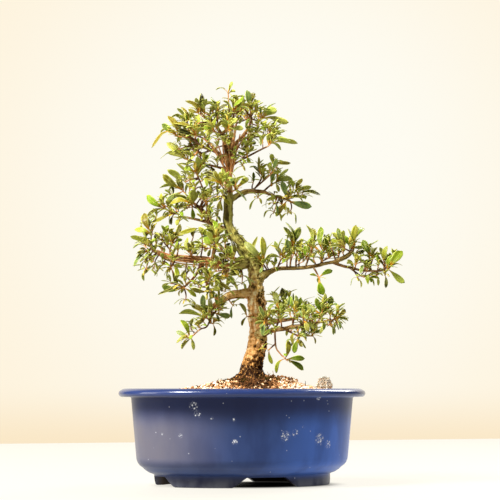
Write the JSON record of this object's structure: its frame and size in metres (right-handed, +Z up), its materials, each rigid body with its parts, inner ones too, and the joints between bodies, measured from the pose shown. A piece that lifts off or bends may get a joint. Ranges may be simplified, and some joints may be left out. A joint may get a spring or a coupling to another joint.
{
  "type": "satsuki azalea bonsai",
  "caption": "Satsuki azalea bonsai: a gently curved trunk with long side limbs and small leathery leaves, standing in granular soil in a blue glazed oval pot on a cut foot ring.",
  "frame": {"origin": "on the floor under the middle of the whole object's box", "axes": "+Z up, +X and +Y along the pot's long and short sides; the picture looks along +Y turned 21 degrees towards +X"},
  "size_m": [0.2794, 0.203, 0.4025],
  "materials": {
    "glaze": "gloss",
    "screen": "matte",
    "soil": "matte",
    "bark": "matte",
    "leaf": "satin"
  },
  "bodies": {
    "root": {"pot": "glaze", "drain_screen_1": "screen", "drain_screen_2": "screen", "soil": "soil", "trunk": "bark", "spray_crown_top": "leaf", "spray_crown_high_left": "leaf", "spray_crown_left": "leaf", "spray_crown_middle": "leaf", "spray_crown_high_right": "leaf", "spray_crown_right": "leaf", "spray_crown_low_right": "leaf", "spray_crown_low_left": "leaf", "spray_crown_inner_left": "leaf", "spray_crown_back": "leaf", "spray_crown_back_left": "leaf", "spray_front": "leaf", "spray_left_high_1": "leaf", "spray_left_high_2": "leaf", "spray_left_high_3": "leaf", "spray_left_high_4": "leaf", "spray_left_mid_1": "leaf", "spray_left_mid_2": "leaf", "spray_left_mid_3": "leaf", "spray_left_inner_high": "leaf", "spray_left_mid_4": "leaf", "spray_left_drop": "leaf", "spray_left_inner_low": "leaf", "spray_left_inner_mid": "leaf", "spray_left_front": "leaf", "spray_left_low": "leaf", "spray_right_high_1": "leaf", "spray_right_high_2": "leaf", "spray_right_high_3": "leaf", "spray_right_mid_1": "leaf", "spray_right_mid_2": "leaf", "spray_right_mid_3": "leaf", "spray_right_mid_4": "leaf", "spray_right_mid_5": "leaf", "spray_right_hanging_leaf": "leaf", "spray_right_end_high": "leaf", "spray_right_tip_1": "leaf", "spray_right_under": "leaf", "spray_right_tip_2": "leaf", "spray_right_low_1": "leaf", "spray_right_low_2": "leaf", "spray_right_low_3": "leaf", "spray_right_low_4": "leaf", "spray_right_low_5": "leaf", "spray_right_low_6": "leaf", "spray_right_low_7": "leaf", "spray_right_hanging": "leaf", "spray_beside_trunk": "leaf", "spray_back_1": "leaf", "spray_back_2": "leaf", "spray_back_low_1": "leaf", "spray_back_low_2": "leaf", "spray_right_back_1": "leaf", "spray_right_back_2": "leaf"}
  },
  "joints": []
}
